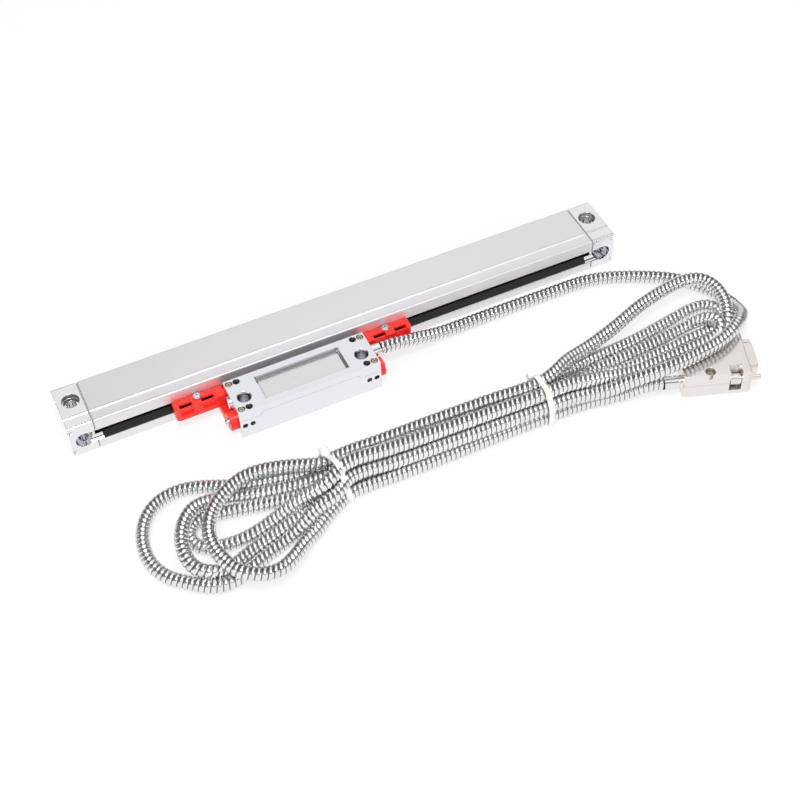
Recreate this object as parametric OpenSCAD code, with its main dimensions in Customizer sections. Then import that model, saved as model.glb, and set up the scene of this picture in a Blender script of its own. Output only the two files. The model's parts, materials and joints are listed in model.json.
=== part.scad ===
// Enclosed linear glass scale: a housed grating bar, a reader head that runs along it,
// and an armoured lead tied in a bundle that ends in a nine-way plug.
// Origin: centre of the body's underside. +X along the scale, -Y towards the slot, +Z up.

/* [Scale body] */
// Measuring travel of the reader head
travel = 200; // [150:10:400]
// Width of the body, front to back
body_w = 30; // [29.5:0.1:34]
// Height of the body
body_h = 21; // [20.8:0.1:24]
// Length of each end cap
cap_l = 13.4; // [13:0.1:18]
// Wall of the extrusion
wall = 2.2; // [1.8:0.1:2.4]
// Thickness of the front wall, which holds the lips
front_wall = 3.4; // [3.2:0.05:3.6]
// Width of the lower strip along the front of the top
strip_w = 7.6; // [6:0.2:9]
// Height of the slot in the front
slot_h = 8.4; // [8:0.1:8.8]
// Height of the slot's middle above the underside
slot_z = 9.4; // [9.3:0.05:9.5]

/* [Mounting] */
// Diameter of the mounting holes in the end caps
mount_d = 5.5; // [4.5:0.1:5.8]
// Diameter of their counterbores
mount_bore_d = 9.6; // [9:0.1:9.8]
// Distance of the mounting holes from the ends
mount_inset = 7.3; // [7:0.1:7.6]
// Tapping diameter of the two large holes in the head
head_thread_d = 6.8; // [5:0.1:7.4]

/* [Reader head] */
// Length of the head
head_l = 80; // [79:0.5:90]
// Depth of the head, front to back
head_w = 24; // [23.5:0.1:28]
// Height of the head
head_h = 19.1; // [18.6:0.1:21]
// Gap between the head and the body
head_gap = 4; // [3.5:0.1:4.5]
// Where the head's middle stands, from the middle of the body
head_at = -37.3; // [-60:0.1:60]
// Length of the label window
window_l = 47.6; // [40:0.2:50]
// Depth of the label window, front to back
window_w = 16.2; // [12:0.2:16.6]

/* [Transport brackets] */
// Length of the bracket's block
block_l = 27.6; // [25:0.2:32]
// Depth of the block
block_w = 7.4; // [7:0.1:7.6]
// Thickness of the arm on the head's end
arm_t = 4; // [3:0.1:5]

/* [Glass and carriage] */
// Thickness of the glass bar
glass_t = 4; // [3.6:0.1:4.2]
// Outer diameter of the ball bearings
bearing_d = 6; // [5.6:0.1:6.2]
// Bore of the ball bearings
bearing_bore = 3; // [2:0.1:3.2]
// Distance between the two outer face bearings
face_span = 40; // [36:0.5:42]
// Distance between the two edge bearings
edge_span = 28; // [26:0.5:29]

/* [Lead and plug] */
// Outer diameter of the armoured hose
hose_d = 7.6; // [7:0.1:7.8]
// Height of the plug's hood
hood_h = 15.6; // [15:0.1:16.4]
// Length of the plug's hood
hood_l = 35; // [34:0.5:38]
// Width of the plug's hood
hood_w = 31; // [31:0.1:33]

/* [Hidden] */
$fn = 48;

// Small clearances shared by the fits
seam = 0.1;          // between faces that are screwed together
slide_gap = 0.3;     // between what moves with the head and the body
hole_gap = 0.1;      // radial, round a screw or a ferrule
pin_gap = 0.05;      // radial, between a bearing and its pin
roll_gap = 0.1;      // between a bearing and the glass
end_room = 60;       // body beyond the measuring travel, at each end

// Scale body
overall_l = travel + 2 * end_room;
front_y = -body_w / 2;
back_y = body_w / 2;
inner_l = overall_l - 2 * cap_l;
strip_drop = 0.3;
bead_r = 0.7;
gasket_t = 0.8;
housing_l = inner_l - 2 * gasket_t;
cavity_front = front_y + front_wall;
cavity_back = back_y - wall;
roof_z = body_h - wall;
slot_lo = slot_z - slot_h / 2;
slot_hi = slot_z + slot_h / 2;
tongue_l = 4;
lip_l = overall_l - 2 * (cap_l + tongue_l) - 2 * seam;
lip_seat = 1.7;
lip_seat_y = front_y + 0.9;
relief_w = 4;

// Screws along the housing, as [y, z]
port_front_y = front_y + 2;
port_back_y = back_y - 3.8;
ports = [
    [port_front_y, body_h - 3.1], [port_front_y, 2.9],
    [port_back_y, body_h - 4.6], [port_back_y, 4.6],
];
port_screw_d = 2.4;
port_head_d = 4.2;
port_head_t = 1.8;
port_depth = 1.8;      // stops short of the lips' ends

// Mounting holes
top_hole_y = 3.4;
mount_x = overall_l / 2 - mount_inset;
mount_sink = 3;
front_sink = 10;

// Glass: its lower edge stands clear of the floor by the edge bearings
glass_over = 34;
glass_l = travel + 2 * glass_over;
glass_y = -1;
strip_t = 0.5;
edge_room = 1.6;
glass_top = roof_z - strip_t;
glass_bottom = wall + edge_room + bearing_d + roll_gap;
glass_h = glass_top - glass_bottom;
glass_bevel = 0.5;

// Reader head
head_z = 0.5;
head_top = head_z + head_h;
head_back = front_y - head_gap;
head_front = head_back - head_w;
head_x0 = head_at - head_l / 2;
head_x1 = head_at + head_l / 2;
head_mid_y = (head_back + head_front) / 2;
seam_mid_z = head_top - 4.6;
seam_end_z = head_top - 7;
rise_x = head_l / 2 - 12;
rise_r = 2.2;
window_depth = 3;
board_room_l = head_l - 26;
board_room_w = head_w - 5.2;
board_floor = 3;
board_l = board_room_l - 4;
board_w = board_room_w - 2.8;
board_hole_x = board_room_l / 2 - 7;
// chips and lead sockets: place and size in shares of the board, then height
chips = [
    [-0.14, -0.31, 0.18, 0.56, 1.4], [0.12, -0.25, 0.1, 0.38, 1.2],
    [-0.3, 0.06, 0.1, 0.31, 2.6], [0.24, 0.16, 0.08, 0.25, 2.6],
];
thread_x = head_l / 2 - 6.8;
thread_y = head_back - 0.6 * head_w;
corner_x = head_l / 2 - 2.6;
corner_back_y = head_back - 2.7;
corner_front_y = head_front + 2.4;
corner_screw_d = 3.9;
corner_head_t = 1.4;
corner_sink = 0.35;
corner_shank_d = 2.2;
corner_shank_l = 9;
set_screw_l = 4;
set_screw_sink = 1.6;
small_hole_d = 3;
small_hole_z = 8.6;
small_hole_depth = 5;
outlet_y = head_back - 8.2;
outlet_z = 11.5;
ferrule_d = 7.2;
ferrule_out = 6.4;
ferrule_in = 3;
spigot_d = 6;
outlet_len = 14;

// Blade between the lips
blade_t = 0.8;
blade_half = 16;
blade_point = 4;
blade_in = front_y + 4;
blade_root_l = 34;
blade_hole_x = blade_root_l / 2 - 6;
blade_root_h = 4;
blade_root_t = 2;
fork_w = 1.6;
ball_r = 0.9;
ball_y = cavity_front + 1.55;
blade_head_d = 3;
blade_head_t = 1;

// Carriage, measured from the head's middle
plate_front = cavity_front + 2.6;
plate_t = 1.5;
plate_half = 25;
plate_lo = 5.4;
plate_hi = roof_z - 1.4;
block_half = 9.2;
rib_t = 1.8;
block_back = glass_y - 1.4;
block_t = 3;
face_y = glass_y - roll_gap - bearing_d / 2;
face_low = 0.6;      // glass below the lower face bearings
face_step = 1.4;     // between the two face bearings of one pin
face_high = 1.4;     // glass above the upper one
bearing_w = (glass_h - face_low - face_step - face_high) / 2;
face_lo_z = glass_bottom + face_low;
face_hi_z = face_lo_z + bearing_w + face_step;
edge_y = glass_y + glass_t / 2 - bearing_w / 2;
edge_z = glass_bottom - roll_gap - bearing_d / 2;
bearing_side = 0.15;
pin_d = bearing_bore - 2 * pin_gap;
clip_d = pin_d + 1.2;
clip_t = 0.4;
lug_t = 1.8;
post_y = glass_y + glass_t + 0.8;
post_t = 3.6;
bridge_lo = wall + 0.8;
bridge_hi = 6.4;
bridge_half = 6;
beam_z = glass_bottom + glass_h * 3 / 7;
window_half = 4.6;
window_tall = glass_h - 4;
grating_h = glass_h - 2.2;
cells_h = glass_h - 0.4;
cell_h = window_tall - 1.2;
lamp_board_h = glass_h + 0.6;
lamp_d = 3;
board_t = 1;

// Brackets
block_y = front_y - slide_gap;
block_top = 14.3;
block_lo = 6.2;
arm_lo = 1.2;
arm_bar_h = 5;
arm_end_r = 5.2;
arm_screw_y = head_back - 16;
arm_screw_z = 7;
notch_l = 7;
notch_h = 5.4;
notch_d = 1.4;
notch_wall = 0.8;     // wall behind a window
notch_slit = 3.6;     // how far back the slit over that wall reaches
notch_top = 1.4;
notch_skin = 1.2;     // top of the block behind the slit
clamp_x = 14;
clamp_y = block_y - 2.3;
clamp_head_d = 4.4;
clamp_head_t = 1.5;
clamp_shank_d = 2.2;
clamp_shank_l = 5;
end_head_d = 4.2;
end_head_t = 1.5;
end_shank_d = 2.2;
end_shank_l = 8;

// Plug, in its own frame: x along the hood, y across it, z up
plug_at = [140.6, -121.3];
plug_turn = -20;
entry_y = 4.2;
plug_mid = hood_w / 2;
hood_mid = hood_h / 2;
hood_wall = 1.6;
hood_nose_w = 16.4;    // width of the hood's narrow end
hood_head_l = 10.6;    // length of its full width
hood_corner = 1.2;
plug_ferrule_l = 9.5;
plug_spigot_d = 5.4;
jack_pitch = 25;
jack_d = 3;
jack_head_d = 5.8;
jack_head_l = 5.6;
jack_nose = 5;
pocket_x = hood_l - 10.5;
pocket_l = 6.4;
pocket_w = 6.2;
pocket_skin = 2.4;
hood_screw_at = [[14, 2.6], [18.6, 20.4]];
hood_screw_head = 4.4;
hood_screw_sink = 3.4;
flange_t = 0.8;
flange_l = 30.8;
flange_h = 12.5;
shell_out = 5.6;
shell_t = 0.5;
pin_pitch = 2.77;
pin_rows = 2.84;
contact_d = 1;

// Route of the lead, from the head's ferrule round to the bundle, and of the tail to the plug
lead_route = [
    [9, -27.2, 11.5], [18, -27.2, 11.2], [30, -27, 8.8], [45, -26, 5.2],
    [62, -25, 3.8], [82, -25, 3.8], [104, -25.2, 3.8], [120.4, -25.4, 3.8],
    [132.3, -25.6, 3.8], [143.3, -27.5, 3.8], [153.4, -31, 3.8], [162.9, -35.5, 3.8],
    [172, -40.6, 3.8], [179, -45.1, 3.8], [184.7, -50.5, 3.8], [189.7, -56.8, 3.8],
    [193.8, -63.1, 3.8], [197, -69.6, 3.8], [198.9, -75.7, 3.8], [198.9, -80, 4.6],
    [196.4, -87.8, 8.8], [191.2, -96, 14.4], [185.8, -102, 18.8], [180, -106, 20],
    [172.4, -109.8, 20.2], [165.7, -111.8, 20.4], [157.4, -113, 20.2], [149.3, -113.8, 20],
    [139.8, -114.4, 20], [131, -114.2, 19.4], [123, -112.7, 17.6], [115.5, -110.7, 15.4],
    [108.1, -108.3, 13.4], [100, -105.8, 12], [91.2, -104.2, 11.6], [84, -104, 11.6],
    [74.62, -104, 11.6],
];
tail_route = [
    [74.62, -103.9, 3.8], [84, -103.9, 3.8], [95, -105.2, 3.8], [105, -107.2, 3.9],
    [114, -108.9, 4.9], [122, -110.6, 6.8], [127, -112, 7.6], [130.3, -113.08, 7.8],
    [133.08, -114.09, 7.8],
];
lead_sides = 10;

// Bundle: three layers of hose between the ties, two in the loops at its ends
hank_h = 3 * hose_d - 1;
loops_h = 2 * hose_d + 0.8;
hank_end_x = 74.6;
tie_left_x = -44;
tie_right_x = 71.6;
tie_left_y = [-108.4, -75.8];
tie_right_y = [-108.4, -82.8];
tie_w = 2.6;
tie_t = 1.1;
tie_r = 8;
tie_head = [4.8, 3.6, 5.2];
tie_z = 0.1;
lobes_left = [[-119, -94, 32.6], [-97, -107, 34], [-50, -92.4, 15.4]];    // x, y, radius
lobes_right = [[88, -88, 10.8], [173, -74, 19.2]];
waist_left = [[-68, -116], [-68, -71]];
waist_right = [[100, -96.6], [100, -75.6]];
waist_mid_y = -99;

function sub(a, b) = [for (i = [0:2]) a[i] - b[i]];
function unit(v) = v / norm(v);
function tangent(p, i) =
    unit(sub(p[min(i + 1, len(p) - 1)], p[max(i - 1, 0)]));
function ring(c, t, r, n) =
    let (side = unit(cross(t, [0, 0, 1])), up = cross(side, t))
    [for (k = [0:n - 1]) c + r * (cos(360 * k / n) * side + sin(360 * k / n) * up)];

// Tube swept along a list of points
module tube(points, d, sides) {
    count = len(points);
    rings = [for (i = [0:count - 1]) each ring(points[i], tangent(points, i), d / 2, sides)];
    walls = [
        for (i = [0:count - 2], k = [0:sides - 1])
            let (a = i * sides + k, b = i * sides + (k + 1) % sides)
            [a, a + sides, b + sides, b],
    ];
    near = [for (k = [0:sides - 1]) k];
    far = [for (k = [sides - 1:-1:0]) (count - 1) * sides + k];
    polyhedron(rings, concat(walls, [near, far]), convexity = 8);
}

// Extrude a profile drawn in y and z along x, about x = 0
module along_x(length) {
    rotate([90, 0, 90]) linear_extrude(length, center = true) children();
}

// Cylinder whose axis runs along +x, +y or +z from the given point
module bar_x(d, length) { rotate([0, 90, 0]) cylinder(d = d, h = length); }
module bar_y(d, length) { rotate([-90, 0, 0]) cylinder(d = d, h = length); }

// Round bar between two points
module rod(a, b, d) {
    v = sub(b, a);
    translate(a)
        rotate([0, acos(v[2] / norm(v)), atan2(v[1], v[0])])
            cylinder(d = d, h = norm(v));
}

// Pan-head screw with a cross recess, head up, seat at z = 0
module pan_screw(head_d, head_t, shank_d, shank_l) {
    difference() {
        union() {
            cylinder(d = head_d, h = head_t * 0.55);
            translate([0, 0, head_t * 0.55])
                cylinder(d1 = head_d, d2 = head_d * 0.72, h = head_t * 0.45);
            translate([0, 0, -shank_l]) cylinder(d = shank_d, h = shank_l);
        }
        for (turn = [0, 90])
            rotate([0, 0, turn])
                translate([-head_d * 0.3, -head_d * 0.07, head_t * 0.45])
                    cube([head_d * 0.6, head_d * 0.14, head_t]);
    }
}

// Set screw with a hexagon socket, mouth at z = 0, body below
module set_screw(d, length) {
    difference() {
        translate([0, 0, -length]) cylinder(d = d, h = length);
        translate([0, 0, -1.6]) cylinder(d = d * 0.55, h = 2, $fn = 6);
    }
}

// ---- Scale body ----

module body_outline() {
    front_top = body_h - strip_drop;
    translate([front_y, 0]) square([body_w, front_top - bead_r]);
    translate([front_y + bead_r, 0]) square([body_w - 2 * bead_r, front_top]);
    translate([front_y + bead_r, front_top - bead_r + 0.15]) circle(bead_r);
    translate([front_y + strip_w, 0]) square([body_w - strip_w - bead_r, body_h]);
    translate([front_y + strip_w, body_h - bead_r + 0.15]) circle(bead_r);
    translate([back_y - bead_r, body_h - bead_r]) circle(bead_r);
}

module cavity_outline() {
    difference() {
        translate([cavity_front, wall])
            square([cavity_back - cavity_front, roof_z - wall]);
        for (z = [ports[2][1], ports[3][1]])
            translate([port_back_y, z]) circle(d = port_screw_d + 2.2);
        translate([port_back_y, roof_z - 1.5]) square([4, 4]);
        translate([port_back_y, 0]) square([4, ports[3][1] + 0.2]);
        translate([port_back_y, ports[2][1] - 0.2]) square([4, 4]);
        translate([port_back_y - port_screw_d / 2 - 1.1, 0])
            square([4, ports[3][1]]);
        translate([port_back_y - port_screw_d / 2 - 1.1, ports[2][1]])
            square([4, 6]);
    }
}

module housing() {
    color("#d6d4d6") difference() {
        along_x(housing_l) difference() {
            body_outline();
            cavity_outline();
            // slot, and the two seats of the lips
            translate([front_y - 1, slot_lo]) square([front_wall + 2, slot_h]);
            translate([lip_seat_y, slot_lo - lip_seat])
                square([lip_seat, slot_h + 2 * lip_seat]);
            for (p = ports) translate(p) circle(d = port_screw_d + 2 * pin_gap);
            // relief grooves along the underside
            for (side = [-1, 1])
                translate([side * body_w / 4 - relief_w / 2, -1]) square([relief_w, 1.4]);
        }
    }
}

module front_channel(length) {
    translate([0, front_y - 1, slot_z])
        rotate([0, 90, 0]) cylinder(r = slot_h / 2 + 0.1, h = length);
}

// Cap drawn for the left end: outer face at x = 0, body towards +x
module end_cap() {
    color("#e2e2e6") difference() {
        union() {
            translate([cap_l / 2, 0, 0]) along_x(cap_l) body_outline();
            // tongue that closes the end of the slot
            translate([cap_l - 0.01, front_y, slot_lo + seam])
                cube([tongue_l + 0.01, front_wall - 0.4, slot_h - 2 * seam]);
        }
        translate([mount_inset, top_hole_y, -1]) cylinder(d = mount_d, h = body_h + 2);
        translate([mount_inset, top_hole_y, body_h - mount_sink])
            cylinder(d = mount_bore_d, h = mount_sink + 1);
        translate([mount_inset, front_y - 1, slot_z]) bar_y(mount_d, body_w + 2);
        translate([mount_inset, front_y - 1, slot_z]) bar_y(mount_bore_d, front_sink + 1);
        translate([mount_inset, 0, 0]) front_channel(cap_l + tongue_l);
        for (p = ports) translate([-1, p[0], p[1]]) {
            bar_x(port_screw_d + 2 * hole_gap, cap_l + 2);
            bar_x(port_head_d + 2 * hole_gap, port_head_t + 1.3);
        }
    }
}

module end_cap_left() {
    translate([-overall_l / 2, 0, 0]) end_cap();
}

module end_cap_right() {
    translate([overall_l / 2, 0, 0]) mirror([1, 0, 0]) end_cap();
}

module cap_gasket(side) {
    color("#2a2a2c") translate([side * (inner_l - gasket_t) / 2, 0, 0])
        along_x(gasket_t - 2 * 0.02) difference() {
            translate([front_y + 0.5, 0.5]) square([body_w - 1, body_h - strip_drop - 1]);
            translate([cavity_front + 0.6, wall + 0.4])
                square([port_back_y - 2.6 - cavity_front - 0.6, roof_z - wall - 0.8]);
            translate([front_y, slot_lo - 0.2]) square([front_wall + 1, slot_h + 0.4]);
            for (p = ports) translate(p) circle(d = port_screw_d + 2 * hole_gap);
        }
}

module cap_gasket_left() { cap_gasket(-1); }
module cap_gasket_right() { cap_gasket(1); }

module cap_screws() {
    color("#b9b9bd")
        for (side = [-1, 1], p = ports)
            translate([side * (overall_l / 2 - port_head_t - 0.3), p[0], p[1]])
                rotate([0, side * 90, 0])
                    pan_screw(port_head_d, port_head_t, port_screw_d, cap_l + port_depth);
}

// Lip drawn as the upper one, in y and z about the slot's middle
module lip_outline() {
    half = slot_h / 2;
    tip = blade_t / 2 + seam;
    root = lip_seat_y - front_y;
    polygon([
        [front_y + root + seam, half - 0.1], [front_y + root + seam, half + lip_seat - seam],
        [front_y + root + lip_seat - seam, half + lip_seat - seam],
        [front_y + root + lip_seat - seam, half - 0.2], [front_y + 3, half - 1.4],
        [front_y + 3.3, tip + 0.2], [front_y + 3.1, tip], [front_y + 2.7, tip],
        [front_y + 1.9, half - 2.6], [front_y + 0.5, half - 0.7], [front_y + 0.5, half - 0.1],
    ]);
}

module seal_lip_upper() {
    color("#141416") translate([0, 0, slot_z]) along_x(lip_l) lip_outline();
}

module seal_lip_lower() {
    color("#141416") translate([0, 0, slot_z]) mirror([0, 0, 1]) along_x(lip_l) lip_outline();
}

module glass_scale() {
    color("#bcd6c8")
        translate([-glass_l / 2, glass_y, glass_bottom]) difference() {
            cube([glass_l, glass_t, glass_h]);
            // ground bevels along the free edge
            for (y = [0, glass_t])
                translate([-1, y, 0]) rotate([45, 0, 0])
                    translate([0, -glass_bevel / 2, -glass_bevel / 2])
                        cube([glass_l + 2, glass_bevel, glass_bevel]);
        }
}

module bonding_strip() {
    color("#6f6f73")
        translate([-glass_l / 2, glass_y, glass_top]) cube([glass_l, glass_t, strip_t]);
}

// ---- Reader head ----

// Outline in x and z of the middle rise of the base, about the head's middle
module rise_outline(gap) {
    half = rise_x - gap;
    top = seam_mid_z - gap;
    translate([-half + rise_r, seam_end_z - 1])
        square([2 * (half - rise_r), top - seam_end_z + 1]);
    translate([-half, seam_end_z - 1]) square([2 * half, top - rise_r - seam_end_z + 1]);
    for (side = [-1, 1])
        translate([side * (half - rise_r), top - rise_r]) circle(rise_r);
}

// Extrude an outline drawn in x and z over the head's depth
module over_head() {
    translate([head_at, head_back, 0])
        rotate([90, 0, 0]) linear_extrude(head_w) children();
}

module head_corners(z) {
    for (side = [-1, 1], y = [corner_back_y, corner_front_y])
        translate([head_at + side * corner_x, y, z]) children();
}

module head_sets(z) {
    for (side = [-1, 1], y = [corner_back_y, corner_front_y])
        translate([head_at + side * thread_x, y, z]) children();
}

module head_threads(z) {
    for (side = [-1, 1]) translate([head_at + side * thread_x, thread_y, z]) children();
}

module outlet_bores() {
    for (side = [-1, 1])
        translate([side > 0 ? head_x1 - outlet_len : head_x0 - 1, outlet_y, outlet_z])
            bar_x(spigot_d + 2 * hole_gap, outlet_len + 1);
}

module arm_screw_holes() {
    for (side = [-1, 1])
        translate([side > 0 ? head_x1 - end_shank_l : head_x0 - 1, arm_screw_y, arm_screw_z])
            bar_x(end_shank_d + 2 * hole_gap, end_shank_l + 1);
}

module head_base() {
    color("#d9d9e2") difference() {
        over_head() {
            translate([-head_l / 2, head_z]) square([head_l, seam_end_z - seam - head_z]);
            rise_outline(seam);
        }
        translate([head_at - board_room_l / 2, head_mid_y - board_room_w / 2, board_floor])
            cube([board_room_l, board_room_w, head_h]);
        head_threads(head_z - 1) cylinder(d = head_thread_d + 0.6, h = head_h);
        head_corners(seam_end_z - corner_shank_l)
            cylinder(d = corner_shank_d + 2 * hole_gap, h = head_h);
        for (side = [-1, 1], x = [thread_x, corner_x])
            translate([head_at + side * x, head_front - 1, small_hole_z])
                bar_y(small_hole_d, small_hole_depth + 1);
        // recess of the blade's root, and the blade's way in
        translate([head_at - blade_root_l / 2 - hole_gap, head_back - blade_root_t - hole_gap,
                   slot_z - blade_root_h / 2 - hole_gap])
            cube([blade_root_l + 2 * hole_gap, blade_root_t + 1, blade_root_h + 2 * hole_gap]);
        for (side = [-1, 1])
            translate([head_at + side * blade_hole_x, head_back - 6, slot_z])
                bar_y(1.6 + 2 * hole_gap, 6);
        outlet_bores();
        arm_screw_holes();
    }
    // bosses of the circuit board
    color("#d9d9e2") difference() {
        for (side = [-1, 1])
            translate([head_at + side * board_hole_x, head_mid_y, board_floor - 0.2])
                cylinder(d = 4.4, h = 2.2);
        for (side = [-1, 1])
            translate([head_at + side * board_hole_x, head_mid_y, board_floor - 2])
                cylinder(d = 1.6 + 2 * hole_gap, h = board_floor + 2);
    }
}

module head_cover() {
    color("#e0e0e8") difference() {
        over_head() difference() {
            translate([-head_l / 2, seam_end_z]) square([head_l, head_top - seam_end_z]);
            rise_outline(0);
        }
        translate([head_at - window_l / 2, head_mid_y - window_w / 2, head_top - window_depth])
            cube([window_l, window_w, window_depth + 1]);
        head_threads(head_z) cylinder(d = head_thread_d, h = head_h + 1);
        head_threads(head_top - 0.5)
            cylinder(d1 = head_thread_d, d2 = head_thread_d + 1.2, h = 0.6);
        head_corners(head_z) cylinder(d = corner_shank_d + 2 * hole_gap, h = head_h + 1);
        head_corners(head_top - corner_head_t - corner_sink)
            cylinder(d = corner_screw_d, h = 3);
        head_sets(head_top - set_screw_l - set_screw_sink)
            cylinder(d = corner_screw_d - 0.1, h = 8);
        outlet_bores();
    }
}

module label_plate() {
    color("#cfcfd2")
        translate([head_at - window_l / 2 + 1.4, head_mid_y - window_w / 2 + 0.9,
                   head_top - window_depth])
            cube([window_l - 2.8, window_w - 1.8, 0.5]);
}

module cover_screws() {
    color("#b8a468") head_corners(head_top - corner_head_t - corner_sink)
        pan_screw(corner_screw_d - 2 * hole_gap, corner_head_t, corner_shank_d, corner_shank_l);
}

module cover_set_screws() {
    color("#4a4a4e") head_sets(head_top - set_screw_sink)
        set_screw(corner_screw_d - 0.1 - 2 * pin_gap, set_screw_l);
}

module front_set_screws() {
    color("#4a4a4e") for (side = [-1, 1])
        translate([head_at + side * thread_x, head_front + 1, small_hole_z])
            rotate([90, 0, 0]) set_screw(small_hole_d - 2 * pin_gap, 3);
}

module blanking_plug() {
    color("#c9c9cf") translate([head_x0, outlet_y, outlet_z]) rotate([0, -90, 0]) difference() {
        union() {
            translate([0, 0, -ferrule_in]) cylinder(d = spigot_d, h = ferrule_in);
            cylinder(d = ferrule_d + 0.6, h = 0.8);
            translate([0, 0, 0.8]) cylinder(d1 = ferrule_d + 0.6, d2 = ferrule_d - 0.6, h = 0.5);
        }
        translate([-ferrule_d / 2, -0.5, 0.6]) cube([ferrule_d, 1, 1]);
    }
}

module circuit_board() {
    board_z = board_floor + 2;
    color("#1f6b3a") translate([head_at, head_mid_y, board_z]) {
        difference() {
            translate([-board_l / 2, -board_w / 2, 0]) cube([board_l, board_w, board_t + 0.6]);
            for (side = [-1, 1])
                translate([side * board_hole_x, 0, -1]) cylinder(d = 2, h = 4);
        }
        // chips and the two lead sockets
        for (c = chips)
            translate([c[0] * board_l, c[1] * board_w, board_t + 0.6])
                cube([c[2] * board_l, c[3] * board_w, c[4]]);
    }
}

module board_screws() {
    color("#b9b9bd") for (side = [-1, 1])
        translate([head_at + side * board_hole_x, head_mid_y, board_floor + 3.6 + 0.02])
            pan_screw(3.4, 1.2, 1.6, 3.4);
}

// ---- Coupling and carriage, drawn about the head's middle ----

module coupling_blade() {
    half = blade_t / 2;
    end = blade_half + blade_point;
    color("#c4c4c8") translate([head_at, 0, slot_z]) {
        // flat boat-shaped blade, pointed at both ends so that the lips close behind it
        difference() {
            translate([0, blade_in, 0]) rotate([90, 0, 0])
                linear_extrude(blade_in - head_back)
                    polygon([[-end, 0], [-blade_half, half], [blade_half, half],
                             [end, 0], [blade_half, -half], [-blade_half, -half]]);
            // notches for the heads of its screws
            for (side = [-1, 1])
                translate([side * blade_hole_x, head_back - 1, 0])
                    bar_y(blade_head_d + 2 * hole_gap, blade_head_t + 1.3);
        }
        // root in the head's back
        difference() {
            translate([-blade_root_l / 2, head_back - blade_root_t, -blade_root_h / 2])
                cube([blade_root_l, blade_root_t, blade_root_h]);
            for (side = [-1, 1])
                translate([side * blade_hole_x, head_back - 4, 0]) bar_y(1.6 + 2 * hole_gap, 8);
        }
        // fork round the ball
        for (side = [-1, 1])
            translate([side > 0 ? ball_r + pin_gap : -ball_r - pin_gap - fork_w,
                       blade_in - 0.01, -half])
                cube([fork_w, ball_y + 0.5 - blade_in, blade_t]);
    }
}

module blade_screws() {
    color("#b9b9bd") for (side = [-1, 1])
        translate([head_at + side * blade_hole_x, head_back + 0.02, slot_z])
            rotate([-90, 0, 0]) pan_screw(blade_head_d, blade_head_t, 1.6, 5);
}

module coupling_ball() {
    color("#d4d4d8") translate([head_at, ball_y, slot_z]) {
        sphere(ball_r);
        bar_y(1.2, plate_front + plate_t - ball_y);
    }
}

module coupling_spring() {
    lift = 1.3;
    wire_d = 0.6;
    span = 9;
    rest_y = plate_front - wire_d / 2 - 0.05;
    color("#9a9aa0") translate([head_at, 0, slot_z]) {
        rod([-span, rest_y, lift], [span, rest_y, lift], wire_d);
        for (side = [-1, 1]) {
            rod([side * span, rest_y, lift],
                [side * (span + 2), blade_in - 0.4, blade_t / 2 + wire_d / 2 + 0.02], wire_d);
            translate([side * span, rest_y, lift]) sphere(d = wire_d, $fn = 24);
        }
    }
}

module carriage_frame() {
    color("#3b3b40") translate([head_at, 0, 0]) difference() {
        union() {
            // front plate
            translate([-plate_half, plate_front, plate_lo])
                cube([2 * plate_half, plate_t, plate_hi - plate_lo]);
            // block that carries the index grating
            translate([-block_half, block_back - block_t, plate_lo])
                cube([2 * block_half, block_t, plate_hi - plate_lo]);
            for (side = [-1, 1])
                translate([side > 0 ? block_half - rib_t : -block_half, plate_front, plate_lo])
                    cube([rib_t, block_back - plate_front, plate_hi - plate_lo]);
            // bridge under the glass and post behind it
            translate([-bridge_half, plate_front, bridge_lo])
                cube([2 * bridge_half, post_y + post_t - plate_front, bridge_hi - bridge_lo]);
            translate([-bridge_half, post_y, bridge_lo])
                cube([2 * bridge_half, post_t, plate_hi - bridge_lo]);
            // lugs under the face bearings
            for (side = [-1, 1])
                translate([side * face_span / 2 - 3.4, plate_front,
                           face_lo_z - bearing_side - lug_t])
                    cube([6.8, face_y + 1.9 - plate_front, lug_t]);
        }
        // light path: window in the block and in the post
        translate([-window_half, block_back - block_t - 1, beam_z - window_tall / 2])
            cube([2 * window_half, block_t + 2, window_tall]);
        translate([-window_half - 1.6, block_back - 0.8, beam_z - grating_h / 2 - seam])
            cube([2 * window_half + 3.2, 2, grating_h + 2 * seam]);
        translate([0, post_y - 1, beam_z]) bar_y(lamp_d + 2 * hole_gap, post_t + 2);
        // bores of the pins and of the ball's stud
        for (side = [-1, 1]) {
            translate([side * face_span / 2, face_y, plate_lo]) cylinder(d = pin_d + 0.04, h = 12);
            translate([side * edge_span / 2, plate_front - 1, edge_z])
                bar_y(pin_d + 0.04, plate_t + 2);
        }
        translate([0, plate_front - 1, slot_z]) bar_y(1.24, plate_t + 2);
    }
}

module clipped_pin(length) {
    cylinder(d = pin_d, h = length);
    translate([0, 0, length]) cylinder(d = clip_d, h = clip_t);
}

module bearing_pins() {
    low = face_lo_z - bearing_side - lug_t;
    short = bearing_w + 2 * bearing_side + lug_t;
    tall = face_hi_z + bearing_w + bearing_side - low;
    color("#c9c9cd") translate([head_at, 0, 0]) {
        translate([-face_span / 2, face_y, low]) clipped_pin(short);
        translate([face_span / 2, face_y, low]) {
            clipped_pin(tall);
            // spacer between the two bearings of this pin
            translate([0, 0, short + 0.02])
                cylinder(d = clip_d, h = face_hi_z - bearing_side - 0.02 - low - short);
        }
        for (side = [-1, 1])
            translate([side * edge_span / 2, plate_front, edge_z])
                rotate([-90, 0, 0]) {
                    clipped_pin(edge_y + bearing_w + bearing_side - plate_front);
                    translate([0, 0, plate_t + 0.02])
                        cylinder(d = clip_d,
                                 h = edge_y - bearing_side - plate_front - plate_t - 0.02);
                }
    }
}

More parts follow.
